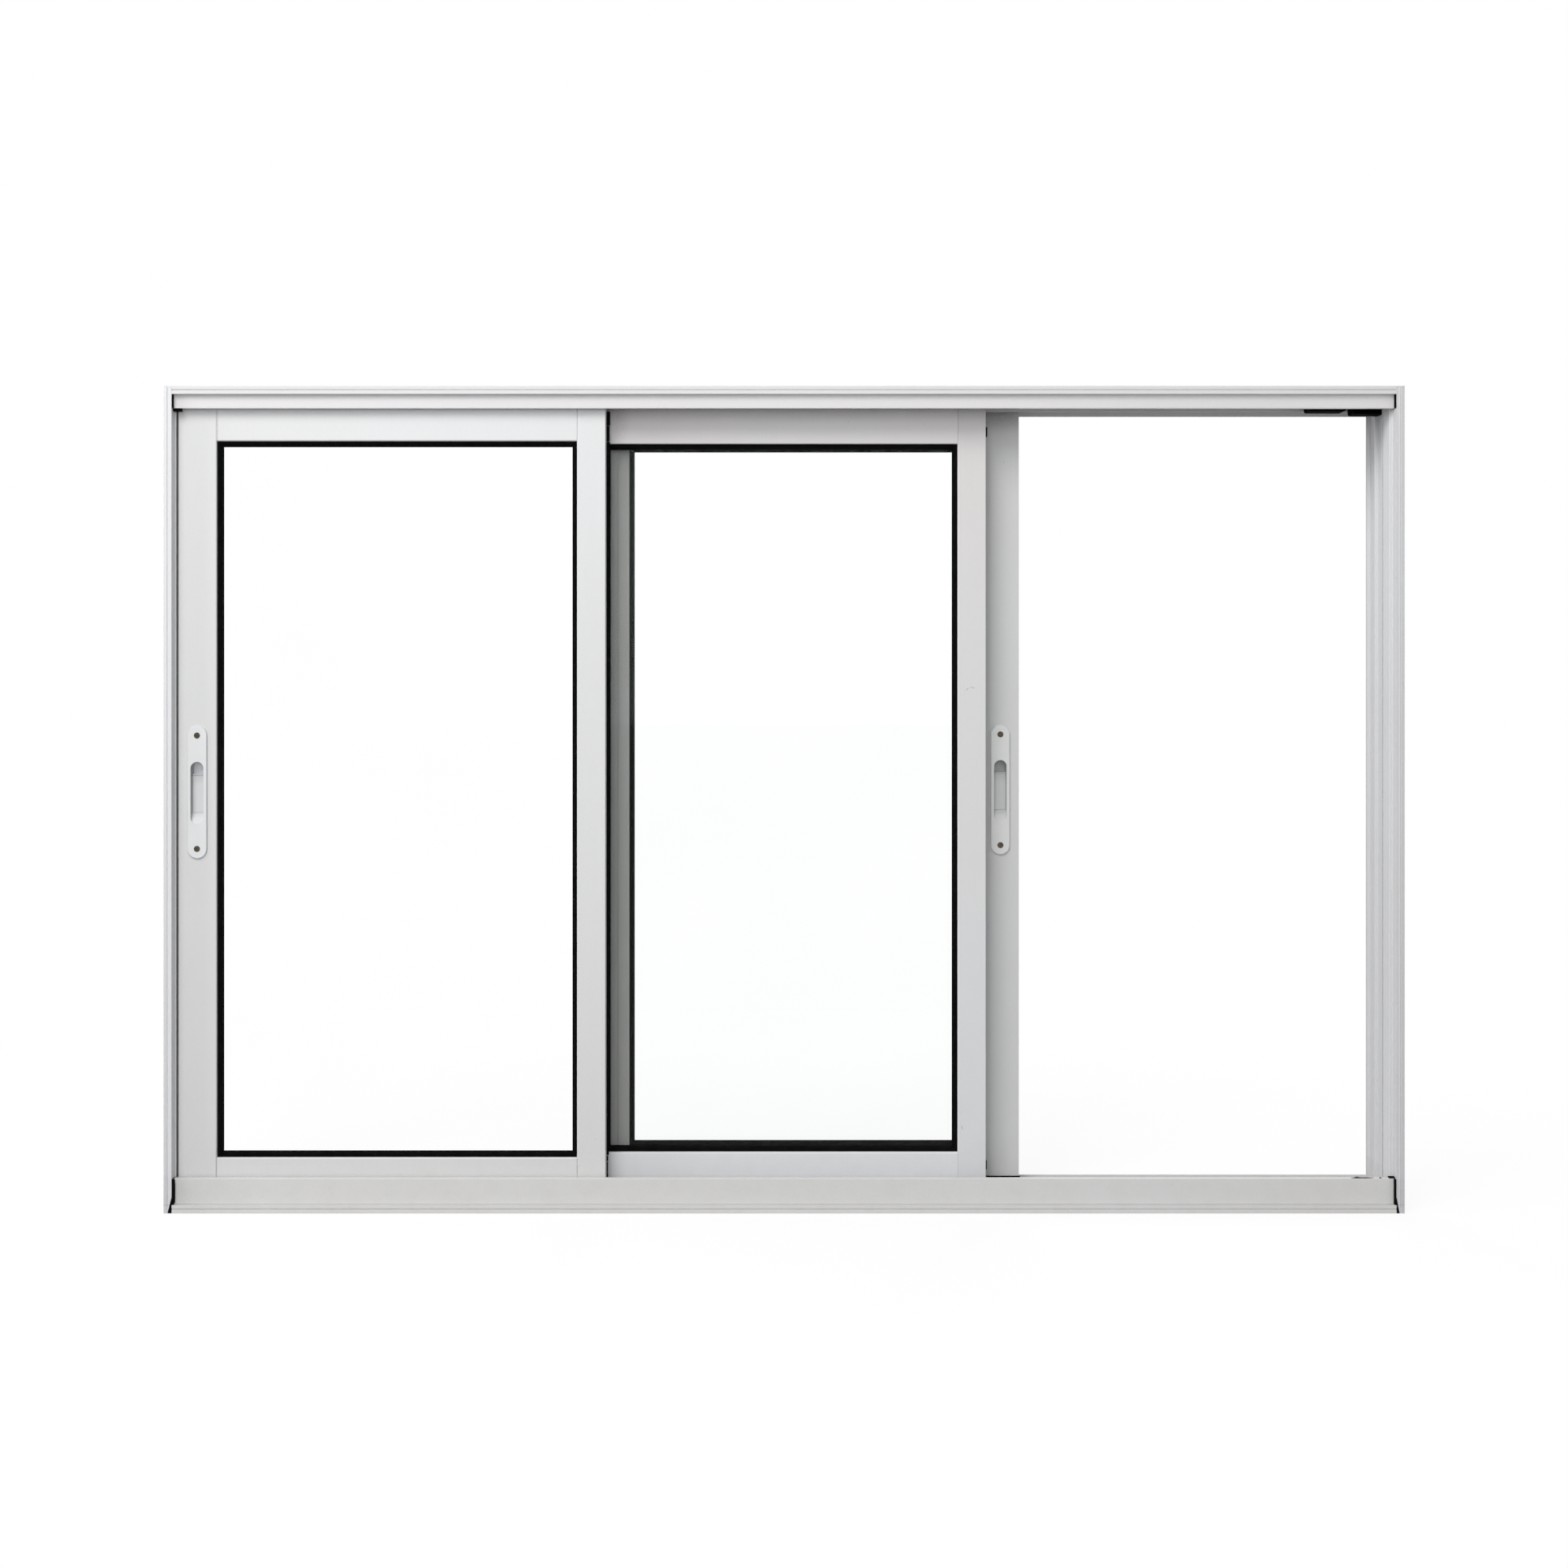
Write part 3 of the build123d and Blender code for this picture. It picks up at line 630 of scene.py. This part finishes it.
floor_corners = [(-9, -7, 0), (9, -7, 0), (9, 11, 0), (-9, 11, 0)]
floor_drop = 0.0002
floor_mesh = bpy.data.meshes.new("floor")
floor_mesh.from_pydata(floor_corners, [], [(0, 1, 2, 3)])
floor_mesh.materials.append(paper_white("floor_paper", 0.86))
floor = bpy.data.objects.new("floor", floor_mesh)
scene.collection.objects.link(floor)
floor.location.z = -floor_drop


def backdrop(sky, colour, strength):
    node = sky.nodes.new("ShaderNodeBackground")
    node.inputs["Color"].default_value = (*colour, 1)
    node.inputs["Strength"].default_value = strength
    return node


def studio():
    """White to the eye, and a soft even light on the window."""
    world = bpy.data.worlds.new("studio")
    world.use_nodes = True
    sky = world.node_tree
    sky.nodes.clear()
    soft = backdrop(sky, (0.96, 0.98, 1.0), 0.37)
    white = backdrop(sky, (1, 1, 1), 1.0)
    output = sky.nodes.new("ShaderNodeOutputWorld")
    sky.links.new(mix_shaders(sky, seen_directly(sky), soft, white).outputs[0], output.inputs[0])
    return world


scene.world = studio()


def softbox(name, place, target, size, power, colour):
    """Rectangular lamp that the picture and reflections don't show."""
    lamp = bpy.data.lights.new(name, "AREA")
    lamp.shape = "RECTANGLE"
    lamp.size, lamp.size_y = size
    lamp.energy = power
    lamp.color = colour
    holder = bpy.data.objects.new(name, lamp)
    scene.collection.objects.link(holder)
    holder.location = place
    holder.rotation_euler = (Vector(target) - Vector(place)).to_track_quat("-Z", "Y").to_euler()
    holder.visible_camera = False
    holder.visible_glossy = False


softbox("key", (-1.4, -2.7, 3.5), (0, 0, 0.75), (2.0, 2.0), 108, (1.0, 0.995, 0.985))
softbox("fill", (-0.2, -4.2, 1.6), (0.1, 0, 0.7), (2.6, 2.0), 52, (0.97, 0.985, 1.0))
softbox("side", (-4.0, -0.9, 1.7), (0.9, 0, 0.6), (1.2, 1.6), 55, (0.95, 0.975, 1.0))
softbox("right", (1.9, -0.8, 0.65), (0.9, 0, 0.6), (0.6, 1.6), 1.5, (1.0, 1.0, 1.0))
softbox("back", (0.6, 3.2, 2.6), (0, 0, 0.6), (2.0, 2.0), 60, (1.0, 1.0, 1.0))

# The photograph's frame is 1932 pixels square, and its middle of view lies at (910, 845) in it.
image_side = 1932
view_middle = (910, 845)
focal_pixels = 2424
film_width = 36
camera_place = (-0.066, -2.913, 0.765)
lens = bpy.data.cameras.new("camera")
lens.sensor_width = film_width
lens.lens = film_width * focal_pixels / image_side
lens.shift_x = (image_side / 2 - view_middle[0]) / image_side
lens.shift_y = (view_middle[1] - image_side / 2) / image_side
lens.clip_end = 60
camera = bpy.data.objects.new("camera", lens)
scene.collection.objects.link(camera)
camera.location = camera_place
camera.rotation_euler = (math.radians(90), 0, 0)
scene.camera = camera

scene.view_settings.view_transform = "Standard"
